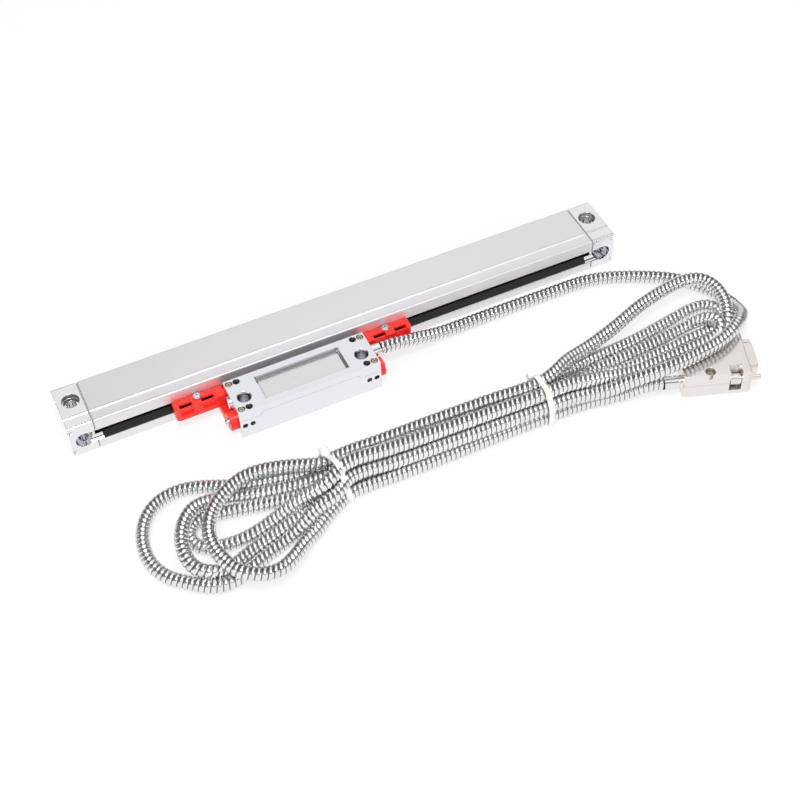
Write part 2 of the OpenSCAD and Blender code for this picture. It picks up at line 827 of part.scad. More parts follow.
// Ball bearing standing on z = 0, with its shields set in from the faces
module bearing() {
    bore_r = bearing_bore / 2;
    outer_r = bearing_d / 2;
    land = 0.5;
    sink = 0.15;
    rotate_extrude() polygon([
        [bore_r, 0], [bore_r + land, 0], [bore_r + land, sink], [outer_r - land, sink],
        [outer_r - land, 0], [outer_r - 0.15, 0], [outer_r, 0.15],
        [outer_r, bearing_w - 0.15], [outer_r - 0.15, bearing_w],
        [outer_r - land, bearing_w], [outer_r - land, bearing_w - sink],
        [bore_r + land, bearing_w - sink], [bore_r + land, bearing_w], [bore_r, bearing_w],
    ]);
}

module face_bearing(side, z) {
    color("#d0d0d4") translate([head_at + side * face_span / 2, face_y, z]) bearing();
}

module edge_bearing(side) {
    color("#d0d0d4") translate([head_at + side * edge_span / 2, edge_y, edge_z])
        rotate([-90, 0, 0]) bearing();
}

module face_bearing_left() { face_bearing(-1, face_lo_z); }
module face_bearing_right() { face_bearing(1, face_lo_z); }
module face_bearing_upper() { face_bearing(1, face_hi_z); }
module edge_bearing_left() { edge_bearing(-1); }
module edge_bearing_right() { edge_bearing(1); }

module index_grating() {
    color("#a9c7b8")
        translate([head_at - window_half - 1.5, block_back - 0.7, beam_z - grating_h / 2])
            cube([2 * window_half + 3, 1, grating_h]);
}

module photodiode_board() {
    color("#1f6b3a") translate([head_at, 0, 0]) {
        translate([-block_half + rib_t + seam, block_back - block_t - board_t - 0.05,
                   beam_z - cells_h / 2])
            cube([2 * (block_half - rib_t - seam), board_t, cells_h]);
        // cell array that looks through the window
        translate([1 - window_half, block_back - block_t - 0.06, beam_z - cell_h / 2])
            cube([2 * window_half - 2, 0.8, cell_h]);
    }
}

module lamp_board() {
    color("#1f6b3a")
        translate([head_at - bridge_half + 0.5, post_y + post_t + 0.05,
                   beam_z - lamp_board_h * 5 / 9])
            cube([2 * bridge_half - 1, board_t, lamp_board_h]);
}

module lamp() {
    color("#e9e4d0") translate([head_at, post_y + 0.6 + lamp_d / 2, beam_z]) {
        sphere(d = lamp_d);
        bar_y(lamp_d, post_t - 0.6 - lamp_d / 2);
    }
}

// ---- Transport brackets ----

// Arm in y and z: a bar under the cable outlet that ends in a round pad for its screw
module arm_outline() {
    bar_front = arm_screw_y;
    difference() {
        union() {
            translate([bar_front, arm_lo]) square([block_y - bar_front, arm_bar_h]);
            translate([arm_screw_y, arm_screw_z]) circle(arm_end_r);
            translate([block_y - block_w, arm_lo]) square([block_w, block_top - arm_lo]);
        }
        translate([outlet_y, outlet_z]) circle(d = ferrule_d + 2);
        translate([arm_screw_y, arm_screw_z]) circle(d = end_shank_d + 2 * hole_gap);
    }
}

// Right-hand bracket: x = 0 is the head's end face, the block runs towards +x
module bracket() {
    front = block_y - block_w;
    color("#e8201c") difference() {
        union() {
            translate([arm_t / 2, 0, 0]) along_x(arm_t) arm_outline();
            translate([0, front, block_lo]) cube([block_l - 2, block_w, block_top - block_lo]);
            translate([0, front + 2, block_lo]) cube([block_l, block_w - 2, block_top - block_lo]);
            translate([block_l - 2, front + 2, block_lo])
                cylinder(r = 2, h = block_top - block_lo);
        }
        // two windows in the front top edge, each with a slit into a room that opens to the bar
        for (x = [arm_t + 1.8, block_l - 2.6 - notch_l]) {
            translate([x, front - 1, block_top - notch_h])
                cube([notch_l, notch_d + 1, notch_h + 1]);
            translate([x, front - 1, block_top - notch_top])
                cube([notch_l, notch_slit + 1, notch_top + 1]);
            translate([x, front + notch_d + notch_wall, block_lo - 1])
                cube([notch_l, block_w, block_top - block_lo - notch_skin + 1]);
        }
        translate([clamp_x, clamp_y, 0])
            cylinder(d = clamp_shank_d + 2 * hole_gap, h = block_top + 1);
    }
}

module bracket_right() {
    translate([head_x1 + seam, 0, 0]) bracket();
}

module bracket_left() {
    translate([head_x0 - seam, 0, 0]) mirror([1, 0, 0]) bracket();
}

module bracket_clamp_screws() {
    color("#c9c9c4")
        for (x = [head_x0 - seam - clamp_x, head_x1 + seam + clamp_x])
            translate([x, clamp_y, block_top + 0.02])
                pan_screw(clamp_head_d, clamp_head_t, clamp_shank_d, clamp_shank_l);
}

module bracket_end_screws() {
    color("#c9c9c4")
        for (side = [-1, 1])
            translate([side > 0 ? head_x1 + seam + arm_t + 0.02 : head_x0 - seam - arm_t - 0.02,
                       arm_screw_y, arm_screw_z])
                rotate([0, side * 90, 0])
                    pan_screw(end_head_d, end_head_t, end_shank_d, end_shank_l + 2);
}

// ---- Lead ----

module head_ferrule() {
    color("#d2d2d6") translate([head_x1, outlet_y, outlet_z]) rotate([0, 90, 0]) difference() {
        union() {
            translate([0, 0, -ferrule_in]) cylinder(d = spigot_d, h = ferrule_in + 0.5);
            translate([0, 0, 0.02]) cylinder(d = ferrule_d + 0.5, h = 1);
            translate([0, 0, 1]) cylinder(d = ferrule_d, h = ferrule_out - 1.3);
        }
        translate([0, 0, -ferrule_in - 1]) cylinder(d = 3, h = ferrule_in + 2);
    }
}

module cable_lead() {
    color("#b4b4b8") tube(lead_route, hose_d, lead_sides);
}

module cable_tail() {
    color("#b4b4b8") tube(tail_route, hose_d, lead_sides);
}

// Loops at both ends, and the strands between the ties
module hank_outline() {
    for (lobes = [lobes_left, lobes_right])
        hull() for (c = lobes) translate([c[0], c[1]]) circle(c[2], $fn = 40);
    hank_middle();
}

module hank_middle() {
    polygon([
        waist_left[0], [tie_left_x, tie_left_y[0] + 0.4], [hank_end_x, tie_right_y[0] + 0.4],
        [hank_end_x, waist_mid_y], waist_right[0], waist_right[1],
        [tie_right_x, tie_right_y[1] - 0.4], [tie_left_x, tie_left_y[1] - 0.4], waist_left[1],
    ]);
}

module tie_gap(x, ys) {
    difference() {
        translate([x - tie_w / 2 - 0.05, ys[0] - 1, -1]) cube([tie_w + 0.1, ys[1] - ys[0] + 2, hank_h + 2]);
        translate([x, 0, 0]) along_x(tie_w + 2)
            tie_ring(ys, tie_t + 0.02);
    }
    // room for the tie's head
    translate([x - tie_head[0] / 2 - 0.1, ys[1] - 0.15, hank_h / 2 - 1.1])
        cube([tie_head[0] + 0.2, tie_head[1] + 8, tie_head[2] + 0.2]);
}

// Rounded rectangle in y and z, inset from the tie's outside
module tie_ring(ys, inset) {
    r = tie_r - inset;
    lo = [ys[0] + inset, tie_z + inset];
    hi = [ys[1] - inset, hank_h - inset];
    translate([lo[0] + r, lo[1]]) square([hi[0] - lo[0] - 2 * r, hi[1] - lo[1]]);
    translate([lo[0], lo[1] + r]) square([hi[0] - lo[0], hi[1] - lo[1] - 2 * r]);
    for (y = [lo[0] + r, hi[0] - r], z = [lo[1] + r, hi[1] - r])
        translate([y, z]) circle(r);
}

module cable_hank() {
    color("#b4b4b8") difference() {
        union() {
            linear_extrude(loops_h) hank_outline();
            linear_extrude(hank_h) hank_middle();
        }
        tie_gap(tie_left_x, tie_left_y);
        tie_gap(tie_right_x, tie_right_y);
    }
}

module cable_tie(x, ys) {
    color("#ece6d8") {
        translate([x, 0, 0]) along_x(tie_w) difference() {
            tie_ring(ys, 0);
            tie_ring(ys, tie_t);
        }
        // head on the back, with the strap's way through it
        translate([x - tie_head[0] / 2, ys[1] - 0.05, hank_h / 2 - 1]) difference() {
            cube(tie_head);
            translate([1, 1, -1]) cube([2.8, 1.4, 8]);
        }
    }
}

module cable_tie_left() { cable_tie(tie_left_x, tie_left_y); }
module cable_tie_right() { cable_tie(tie_right_x, tie_right_y); }

// ---- Plug, drawn in its own frame ----

module at_plug() {
    translate([plug_at[0], plug_at[1], 0]) rotate([0, 0, plug_turn]) children();
}

module plug_ferrule() {
    color("#cfccc8") at_plug() translate([0, entry_y, hood_mid]) rotate([0, 90, 0]) difference() {
        union() {
            translate([0, 0, -plug_ferrule_l]) cylinder(d = ferrule_d, h = plug_ferrule_l - 2.4);
            translate([0, 0, -3]) cylinder(d = ferrule_d - 1.2, h = 3);
            translate([0, 0, -1.6]) cylinder(d = ferrule_d, h = 1.6 - 0.02);
            cylinder(d = plug_spigot_d, h = 3);
        }
        translate([0, 0, -2]) cylinder(d = 3, h = 6);
    }
}

module hood_outline(inset) {
    slant = hood_w - hood_nose_w;
    polygon([
        [inset, hood_corner], [inset + hood_corner, inset], [hood_l - inset, inset],
        [hood_l - inset, hood_w - inset], [hood_l - hood_head_l, hood_w - inset],
        [hood_l - hood_head_l - slant + inset / 2, hood_nose_w - inset],
        [inset + hood_corner, hood_nose_w - 1.8 - inset],
        [inset, hood_nose_w - 1.8 - hood_corner - inset],
    ]);
}

module hood_solid() {
    difference() {
        linear_extrude(hood_h) hood_outline(0);
        // room for the wires
        translate([0, 0, 3]) linear_extrude(hood_h - 6) intersection() {
            hood_outline(hood_wall);
            translate([0, pocket_w + hood_wall])
                square([pocket_x + pocket_l, hood_w - 2 * (pocket_w + hood_wall)]);
        }
        translate([3, pocket_w + hood_wall - 5, 4]) cube([10, 8, hood_h - 8]);
        // opening for the shell's back
        translate([pocket_x, plug_mid - 8.4, hood_mid - 4]) cube([14, 16.8, 8]);
        // pockets of the two thumbscrews, open above on one side and below on the other
        translate([pocket_x, -1, pocket_skin]) cube([pocket_l, pocket_w + 1, hood_h]);
        translate([pocket_x, hood_w - pocket_w, -1])
            cube([pocket_l, pocket_w + 1, hood_h - pocket_skin + 1]);
        for (side = [-1, 1])
            translate([pocket_x, plug_mid + side * jack_pitch / 2, hood_mid])
                bar_x(jack_d + 2 * pin_gap, 14);
        translate([-1, entry_y, hood_mid]) bar_x(plug_spigot_d + 2 * hole_gap, 7);
        for (p = hood_screw_at) translate([p[0], p[1], 0]) {
            translate([0, 0, hood_h - hood_screw_sink]) cylinder(d = hood_screw_head + 1, h = 6);
            translate([0, 0, 2]) cylinder(d = 2.4, h = hood_h);
        }
    }
}

module hood_lower() {
    color("#d9d2cc") at_plug() intersection() {
        hood_solid();
        cube([4 * hood_l, 4 * hood_w, 2 * (hood_mid - seam / 2)], center = true);
    }
}

module hood_upper() {
    color("#e1dad4") at_plug() difference() {
        hood_solid();
        cube([4 * hood_l, 4 * hood_w, 2 * (hood_mid + seam / 2)], center = true);
    }
}

module hood_screws() {
    color("#b8a468") at_plug() for (p = hood_screw_at)
        translate([p[0], p[1], hood_h - hood_screw_sink + 0.02])
            pan_screw(hood_screw_head, 1.8, 2.2, 8);
}

// D-shaped outline of the shell, in y and z about its middle
module shell_outline(grow) {
    half = 8.4 + grow;
    tall = 4.1 + grow;
    lean = 1.2;
    polygon([
        [-half + 1, tall], [half - 1, tall], [half, tall - 1],
        [half - lean, -tall + 1], [half - lean - 1, -tall],
        [-half + lean + 1, -tall], [-half + lean, -tall + 1], [-half, tall - 1],
    ]);
}

module at_shell(x) {
    at_plug() translate([x, plug_mid, hood_mid]) rotate([90, 0, 90]) children();
}

module plug_flange() {
    color("#dedede") {
        at_shell(hood_l + seam) linear_extrude(flange_t) difference() {
            square([flange_l, flange_h], center = true);
            shell_outline(0);
            for (side = [-1, 1]) translate([side * jack_pitch / 2, 0]) circle(d = jack_d + 0.2);
        }
        at_shell(hood_l + seam) linear_extrude(shell_out) difference() {
            shell_outline(shell_t);
            shell_outline(0);
        }
    }
}

module contact_places() {
    for (i = [-2:2]) translate([i * pin_pitch, pin_rows / 2]) children();
    for (i = [-1.5:1.5]) translate([i * pin_pitch, -pin_rows / 2]) children();
}

module plug_insulator() {
    color("#1c1c1e") at_shell(pocket_x + pocket_l + 1) linear_extrude(hood_l - pocket_x - pocket_l + 0.6)
        difference() {
            intersection() {
                shell_outline(-0.15);
                square([16.6, 7.8], center = true);
            }
            contact_places() circle(d = contact_d + 0.04);
        }
}

module plug_contacts() {
    color("#d8b25a") at_shell(pocket_x + pocket_l - 1) contact_places()
        cylinder(d = contact_d, h = hood_l - pocket_x - pocket_l + 5.4, $fn = 20);
}

// Thumbscrew along +x: knurled head in its pocket, shank through the hood's front
module thumbscrew() {
    color("#d4d0cb") rotate([0, 90, 0]) {
        difference() {
            cylinder(d = jack_head_d, h = jack_head_l);
            translate([-jack_head_d, -0.4, -1]) cube([2 * jack_head_d, 0.8, 1.9]);
            for (i = [0:11])
                rotate([0, 0, 30 * i])
                    translate([jack_head_d / 2 + 0.12, 0, 1.6]) cylinder(d = 0.6, h = 3.2, $fn = 12);
        }
        cylinder(d = jack_d, h = hood_l - pocket_x + flange_t + jack_nose);
    }
}

module thumbscrew_near() {
    at_plug() translate([pocket_x + 0.5, plug_mid - jack_pitch / 2, hood_mid]) thumbscrew();
}

module thumbscrew_far() {
    at_plug() translate([pocket_x + 0.5, plug_mid + jack_pitch / 2, hood_mid]) thumbscrew();
}

housing();
end_cap_left();
end_cap_right();
cap_gasket_left();
cap_gasket_right();
cap_screws();
seal_lip_upper();
seal_lip_lower();
glass_scale();
bonding_strip();
head_base();
head_cover();
label_plate();
cover_screws();
cover_set_screws();
front_set_screws();
blanking_plug();
circuit_board();
board_screws();
coupling_blade();
blade_screws();
coupling_ball();
coupling_spring();
carriage_frame();
bearing_pins();
index_grating();
photodiode_board();
lamp_board();
lamp();
face_bearing_left();
face_bearing_right();
face_bearing_upper();
edge_bearing_left();
edge_bearing_right();
bracket_left();
bracket_right();
bracket_clamp_screws();
bracket_end_screws();
head_ferrule();
cable_lead();
cable_hank();
cable_tail();
cable_tie_left();
cable_tie_right();
plug_ferrule();
hood_lower();
hood_upper();
hood_screws();
plug_flange();
plug_insulator();
plug_contacts();
thumbscrew_near();
thumbscrew_far();
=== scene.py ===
# %% [markdown]
# # A linear glass scale, dressed for the studio
# The object is a sealed measuring bar: an aluminium body with a glass grating inside, a reader
# head that slides along its front, two red transport brackets, and an armoured lead that is
# tied in a bundle and ends in a nine-way plug. The construction comes in as a fixed frame, and
# this file adds what construction drawings leave out: the ribbed hose, the ties, the finishes
# of every piece, and the light.

# %% Load the frame
import json
import math

import bmesh
import bpy
import numpy as np
from mathutils import Matrix, Vector


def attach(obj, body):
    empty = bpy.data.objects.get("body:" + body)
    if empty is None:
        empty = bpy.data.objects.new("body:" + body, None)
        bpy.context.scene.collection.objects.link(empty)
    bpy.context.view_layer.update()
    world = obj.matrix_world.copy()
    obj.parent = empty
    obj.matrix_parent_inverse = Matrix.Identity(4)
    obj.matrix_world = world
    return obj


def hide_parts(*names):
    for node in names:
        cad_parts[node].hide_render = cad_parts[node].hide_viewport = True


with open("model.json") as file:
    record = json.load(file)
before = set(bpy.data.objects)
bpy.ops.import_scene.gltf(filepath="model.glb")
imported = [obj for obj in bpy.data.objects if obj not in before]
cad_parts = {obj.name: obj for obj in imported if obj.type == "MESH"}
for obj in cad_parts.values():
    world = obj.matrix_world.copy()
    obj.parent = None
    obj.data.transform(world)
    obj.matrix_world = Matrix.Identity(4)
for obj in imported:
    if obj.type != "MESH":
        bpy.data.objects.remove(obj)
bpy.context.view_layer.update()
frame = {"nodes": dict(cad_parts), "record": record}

# %% [markdown]
# ## The camera
# A studio camera looks down on the bar at about 49 degrees, turned a little to the right and
# rolled by three degrees. It could be aimed with a constraint. Three plain angles are used
# here, because they can be read and changed one at a time, and its matrix follows from them.

# %% Camera
turn, tilt, roll = 0.3932094, 0.8574697, -0.0556809
camera_place = (-0.19207, -0.53623, 0.60080)
forward = Vector((math.sin(turn), math.cos(turn), 0))
looks = forward * math.cos(tilt) - Vector((0, 0, 1)) * math.sin(tilt)
right = looks.cross(Vector((0, 0, 1))).normalized()
up = right.cross(looks)
right, up = (right * math.cos(roll) + up * math.sin(roll),
             up * math.cos(roll) - right * math.sin(roll))
camera_data = bpy.data.cameras.new("studio_camera")
camera_data.sensor_width = 36
camera_data.lens = 67.37
camera_data.clip_end = 20
camera = bpy.data.objects.new("studio_camera", camera_data)
bpy.context.scene.collection.objects.link(camera)
axes = Matrix((right, up, -looks)).transposed().to_4x4()
camera.matrix_world = Matrix.Translation(camera_place) @ axes
bpy.context.scene.camera = camera
bpy.context.scene.view_settings.view_transform = "Standard"
print("camera looks along", [round(v, 3) for v in looks])

# %% [markdown]
# ## The lead's route
# The lead is one hose, about three metres long. It leaves the head's right end, runs beside the
# bar, comes round to the bundle, passes eight times between two ties and ends in the plug. It
# could be dropped by a cloth or rope simulation, but a tied bundle keeps the folds that hands
# gave it. So the folds are set by listed points in millimetres, and the strands are then pushed
# a diameter apart, which is what the real hose's stiffness and weight do.

# %% Places of the strands at the two ties
hose_d = 7.6
slots_right = {"lead": (71.6, -104, 11.6), "back_top": (71.6, -92.5, 18),
               "back": (71.6, -88.7, 11.4), "back_low": (71.6, -88.6, 3.8),
               "middle": (71.6, -96.3, 11.4),
               "front_top": (71.6, -100.2, 18.1), "middle_low": (71.6, -96.2, 3.8),
               "tail": (71.6, -103.8, 3.8)}
slots_left = {"front_low": (-44, -103.4, 3.8), "front": (-44, -99.6, 10.4),
              "middle": (-44, -92, 10.4), "top": (-44, -95.8, 17),
              "middle_low": (-44, -95.8, 3.8), "behind_low": (-44, -88.2, 3.8),
              "back_low": (-44, -80.6, 3.8), "back": (-44, -84.4, 10.4)}


def run(here, there):
    """Points of one straight strand between the ties, both ends included."""
    return [tuple(a + (b - a) * t for a, b in zip(here, there)) for t in (0, 0.25, 0.5, 0.75, 1)]


print("strands at each tie:", len(slots_right), len(slots_left))

# %% From the head round to the bundle
lead_points = [
    (9, -27.2, 11.5), (18, -27.2, 11.2), (30, -27, 8.8), (45, -26, 5.2), (62, -25, 3.8),
    (82, -25, 3.8), (104, -25.2, 3.8), (120.4, -25.4, 3.8), (132.3, -25.6, 3.8),
    (143.3, -27.5, 3.8), (153.4, -31, 3.8), (162.9, -35.5, 3.8), (172, -40.6, 3.8),
    (179, -45.1, 3.8), (184.7, -50.5, 3.8), (189.7, -56.8, 3.8), (193.8, -63.1, 3.8),
    (197, -69.6, 3.8), (198.9, -75.7, 3.8), (198.9, -80, 4.6), (196.4, -87.8, 8.8),
    (191.2, -96, 14.4), (185.8, -102, 18.8), (180, -106, 20), (172.4, -109.8, 20.2),
    (165.7, -111.8, 20.4), (157.4, -113, 20.2), (149.3, -113.8, 20), (139.8, -114.4, 20),
    (131, -114.2, 19.4), (123, -112.7, 17.6), (115.5, -110.7, 15.4), (108.1, -108.3, 13.4),
    (100, -105.8, 12), (91.2, -104.2, 11.6), (84, -104, 11.6), (74.6, -104, 11.6)
]
tail_points = [
    (74.6, -103.9, 3.8), (84, -103.9, 3.8), (95, -105.2, 3.8), (105, -107.2, 3.9),
    (114, -108.9, 4.9), (122, -110.6, 6.8), (127, -112, 7.6), (130.3, -113.1, 7.8),
    (133.1, -114.1, 7.8)
]
print("lead", len(lead_points), "points, tail", len(tail_points))

# %% The loops at the bundle's ends, in the order in which the hose was folded
loops = [
    [
        (-54.1, -106, 8.4), (-64.7, -109.4, 6.4), (-75.5, -113.7, 5), (-86, -117.6, 4.2),
        (-95.9, -120.5, 3.8), (-102.7, -123.3, 3.8), (-109.3, -125.8, 3.8), (-115.4, -126.3, 3.8),
        (-121.5, -124.3, 3.8), (-127.2, -121.2, 3.8), (-131.9, -118.9, 3.8), (-136.5, -116.2, 3.8),
        (-140.7, -112.4, 3.8), (-143.9, -107.1, 3.8), (-146, -101.4, 3.8), (-146.9, -95, 3.8),
        (-146.5, -88.6, 3.8), (-145.1, -83.1, 3.8), (-143.1, -77.9, 3.8), (-140.7, -74, 3.8),
        (-137.4, -70.1, 3.8), (-133.2, -67, 3.8), (-128.5, -64.7, 3.8), (-123.3, -63.8, 3.8),
        (-117.1, -64, 3.8), (-110.6, -65.7, 3.8), (-104.4, -68.3, 3.8), (-98.2, -71.1, 3.8),
        (-92.2, -74.3, 3.8), (-85.9, -76.7, 3.8), (-79.3, -78.4, 3.8), (-71, -80.2, 3.8),
        (-62.7, -82.2, 3.8), (-54.3, -84, 3.8)
    ],
    [
        (86, -85.4, 9.4), (104.6, -81.4, 5.6), (116.6, -79.3, 4), (127.8, -78.6, 3.8),
        (141.2, -77.1, 3.8), (155.1, -74.9, 3.8), (169.3, -72.6, 3.8), (176.2, -71.8, 3.8),
        (181.9, -71.7, 3.8), (186.1, -72.7, 3.8), (189.1, -74.9, 3.8), (190.1, -78.4, 3.8),
        (188.9, -82.8, 3.8), (186, -86.7, 3.8), (181.6, -89.7, 3.8), (175.7, -91.5, 3.8),
        (168.4, -91.7, 3.8), (157, -92.4, 3.8), (143.6, -93.8, 3.8), (130.5, -95, 3.8),
        (118, -95.4, 3.8), (107.3, -95.4, 4.2), (96.5, -95.6, 6), (84, -95.8, 9.6)
    ],
    [
        (-52.1, -101.4, 9), (-62.1, -103.4, 6.6), (-72.6, -106.6, 5), (-85, -110.6, 4),
        (-93.1, -113.2, 3.8), (-101.1, -115.8, 3.8), (-107.1, -118, 3.8), (-112.3, -120.5, 4),
        (-117.2, -122.4, 5), (-122.3, -122.8, 6.4), (-126.4, -120.4, 7.4), (-128.4, -116.6, 8.4),
        (-129.9, -112.1, 9.4), (-130.5, -107.5, 10.6), (-130.3, -103.2, 11.4),
        (-128.7, -97.5, 11.6), (-126.5, -92.5, 11.6), (-123, -87.4, 11.2), (-118.5, -83.5, 10),
        (-114, -80.7, 8.4), (-109.6, -79, 6.8), (-104.3, -78.4, 5.2), (-97.7, -79.3, 4),
        (-89.5, -81.3, 3.8), (-81.2, -83.1, 3.8), (-72.9, -84.9, 3.8), (-64.4, -86.5, 3.8),
        (-55.8, -87.6, 3.8)
    ],
    [
        (86, -88.4, 3.8), (101, -87.8, 3.8), (112.2, -87, 3.8), (123.2, -86.5, 3.8),
        (136.2, -85.4, 3.8), (149.6, -84, 3.8), (163.2, -82.4, 4.2), (170.5, -83, 6),
        (175.2, -85, 8.6), (178.6, -87.9, 10.8), (181.3, -90.9, 11.4), (180.9, -95.1, 11.6),
        (178.1, -98.3, 11.6), (172.9, -100.3, 11.6), (166, -101.3, 11.4), (158, -101.8, 11.4),
        (148.4, -102.2, 11.4), (139, -102.5, 11.4), (129.7, -102.7, 11.6), (120.4, -102.9, 12),
        (111.5, -102.6, 12.8), (102.4, -102.6, 14), (92.2, -102, 15.6), (84, -99.6, 17.4)
    ],
    [
        (-51.8, -101.6, 14), (-59.1, -101.3, 10.6), (-66.7, -101.5, 7.4), (-74.2, -101.9, 5.2),
        (-81.9, -103.1, 4.2), (-89.7, -104.6, 3.8), (-97.2, -105.9, 3.8), (-104.3, -106.1, 3.8),
        (-110.2, -105.5, 3.8), (-114.4, -105, 3.8), (-118.3, -103.9, 3.8), (-121.7, -101.3, 3.8),
        (-124, -97.5, 3.8), (-124.2, -92.9, 3.8), (-122.3, -88.9, 3.8), (-118.5, -86.3, 3.8),
        (-113.3, -85.5, 3.8), (-107.4, -86.3, 3.8), (-100.8, -87.6, 3.8), (-92.6, -89.3, 3.8),
        (-84.4, -91.1, 3.8), (-76.1, -92.9, 3.8), (-67.7, -94.5, 3.8), (-59, -95.4, 3.8)
    ],
    [
        (86, -97, 3.8), (97.1, -94.8, 3.8), (106.8, -96.2, 3.8), (116.9, -97.3, 3.8),
        (129, -97.5, 3.8), (141.5, -97.3, 3.8), (152.6, -96.9, 3.8), (162.2, -96.5, 3.8),
        (170.4, -96.1, 3.8), (177.2, -95.3, 4.2), (181.9, -94.9, 6), (184.8, -94.1, 8.8),
        (187, -92.1, 10.8), (188.7, -88.9, 11.4), (190.4, -85, 11.4), (191.7, -80.8, 11.4),
        (192.7, -76.8, 11.4), (193.3, -72.7, 11.4), (193.2, -68.8, 11.4), (192.5, -64.8, 11.4),
        (190.9, -61, 11.4), (188.4, -58.6, 11.4), (185.1, -57.3, 11.4), (181.3, -57, 11.4),
        (176.4, -57.1, 11.4), (171.2, -57.7, 11.4), (166, -58.4, 11.4), (160.5, -59.6, 11.4),
        (154.9, -61, 11.4), (149.3, -62.4, 11.4), (143.2, -64.7, 11.4), (137, -67.1, 11.4),
        (131, -69.5, 11.4), (125.1, -71.6, 11.5), (118.4, -73.9, 11.8), (110.6, -76.7, 12.4),
        (102.1, -79.6, 13.4), (92.6, -82.9, 15)
    ],
    [
        (-48.9, -85.8, 10.8), (-55.2, -83.5, 11.2), (-61.5, -81.1, 11.4), (-69.5, -78.5, 11.6),
        (-77.7, -76.7, 11.8), (-84.7, -76, 12), (-91.3, -77.1, 12), (-97.3, -80, 12),
        (-103.1, -83.5, 12), (-107.5, -87, 12), (-111.3, -91.4, 12), (-114.2, -96.7, 12),
        (-116, -101.9, 12), (-116.8, -107.6, 12), (-116.3, -113.3, 12), (-115.1, -119.3, 12),
        (-112.7, -125.3, 12), (-109, -130.1, 12), (-104.4, -133.5, 11.8), (-99.2, -135.3, 11.2),
        (-93.8, -135.4, 10.2), (-87.9, -133.3, 9), (-81.5, -128.8, 7.6), (-74.7, -122.8, 6.2),
        (-67.6, -117, 5), (-60.1, -111.8, 4.2), (-53.2, -108.3, 3.8), (-47.4, -106.5, 3.8)
    ],
]
print("loops:", [len(loop) for loop in loops])

# %% Join the strands and the loops into one line
r, l = slots_right, slots_left
strands = [(r["lead"], l["front"]), (l["back_low"], r["back"]), (r["middle"], l["middle"]),
           (l["behind_low"], r["back_low"]), (r["front_top"], l["top"]),
           (l["middle_low"], r["middle_low"]), (r["back_top"], l["back"]),
           (l["front_low"], r["tail"])]
# the lead ends where the first strand starts, and the tail starts where the last one ends
hand_line = list(lead_points)
for number, (here, there) in enumerate(strands):
    straight = run(here, there)
    first, last = number == 0, number == len(strands) - 1
    hand_line += straight[1:] if first else straight[:-1] if last else straight
    if not last:
        hand_line += loops[number]
hand_line += tail_points
print("hand points in all:", len(hand_line))

# %% A smooth line through the listed points


def evenly(line, step):
    """The same line with points a step apart."""
    along = np.r_[0, np.cumsum(np.linalg.norm(np.diff(line, axis=0), axis=1))]
    places = np.linspace(0, along[-1], int(round(along[-1] / step)) + 1)
    return np.stack([np.interp(places, along, line[:, k]) for k in range(3)], 1)


def smooth_line(points, step):
    """Centripetal spline, which passes through every point and makes no small loops."""
    points = np.array(points, float)
    points = np.vstack([2 * points[0] - points[1], points, 2 * points[-1] - points[-2]])
    pieces = []
    for i in range(1, len(points) - 2):
        p0, p1, p2, p3 = points[i - 1:i + 3]
        t1 = np.linalg.norm(p1 - p0) ** 0.5
        t2 = t1 + np.linalg.norm(p2 - p1) ** 0.5
        t3 = t2 + np.linalg.norm(p3 - p2) ** 0.5
        count = max(2, int(np.linalg.norm(p2 - p1) / (step / 8)))
        t = np.linspace(t1, t2, count, endpoint=False)[:, None]
        a1 = (t1 - t) / t1 * p0 + t / t1 * p1
        a2 = (t2 - t) / (t2 - t1) * p1 + (t - t1) / (t2 - t1) * p2
        a3 = (t3 - t) / (t3 - t2) * p2 + (t - t2) / (t3 - t2) * p3
        b1 = (t2 - t) / t2 * a1 + t / t2 * a2
        b2 = (t3 - t) / (t3 - t1) * a2 + (t - t1) / (t3 - t1) * a3
        pieces.append((t2 - t) / (t2 - t1) * b1 + (t - t1) / (t2 - t1) * b2)
    return evenly(np.vstack(pieces + [points[-2][None]]), step)


step = 4.0
line = smooth_line(hand_line, step)
print("first line:", len(line), "points,", round(len(line) * step / 1000, 2), "m")

# %% Push the strands apart and let them lie on the table


def settle(line, rounds=240, push_share=0.35, even_share=0.25, home_share=0.03):
    """Pushes strands apart to one diameter, keeps the bends even and nothing below the table."""
    home = line.copy()
    # both ends stay in line with their ferrules
    held = np.zeros(len(line), bool)
    held[:10] = held[-8:] = True
    order = np.arange(len(line))
    same_strand = np.abs(order[:, None] - order[None]) <= int(2.2 * hose_d / step)
    for _ in range(rounds):
        apart = line[:, None] - line[None]
        distance = np.linalg.norm(apart, axis=2)
        distance[same_strand] = 1e9
        i, j = np.nonzero(distance < hose_d)
        push = np.zeros_like(line)
        if len(i):
            over = (hose_d - distance[i, j]) / 2
            away = apart[i, j] / distance[i, j][:, None]
            np.add.at(push, i, away * over[:, None] * push_share)
        line = line + push
        even = line.copy()
        even[2:-2] = (-line[:-4] + 4 * line[1:-3] + 4 * line[3:-1] - line[4:]) / 6
        line = line + even_share * (even - line) + home_share * (home - line)
        line[:, 2] = np.maximum(line[:, 2], hose_d / 2)
        line[held] = home[held]
    return line, distance.min()


line, nearest = settle(line)
print("settled: nearest strands", round(float(nearest), 2), "mm apart, highest",
      round(float(line[:, 2].max()), 1), "mm")

# %% [markdown]
# ## The armoured hose
# The hose is a steel strip wound in a helix, each turn hooked over the next, so that its
# outside is one long rib with a narrow gap beside it. It could be a plain tube with a bump
# texture, but the ribs show in its outline and catch the light one by one. So the rib is
# modelled: every vertex row follows the helix itself, and five rows make the rib's profile.

# %% Frames along the line


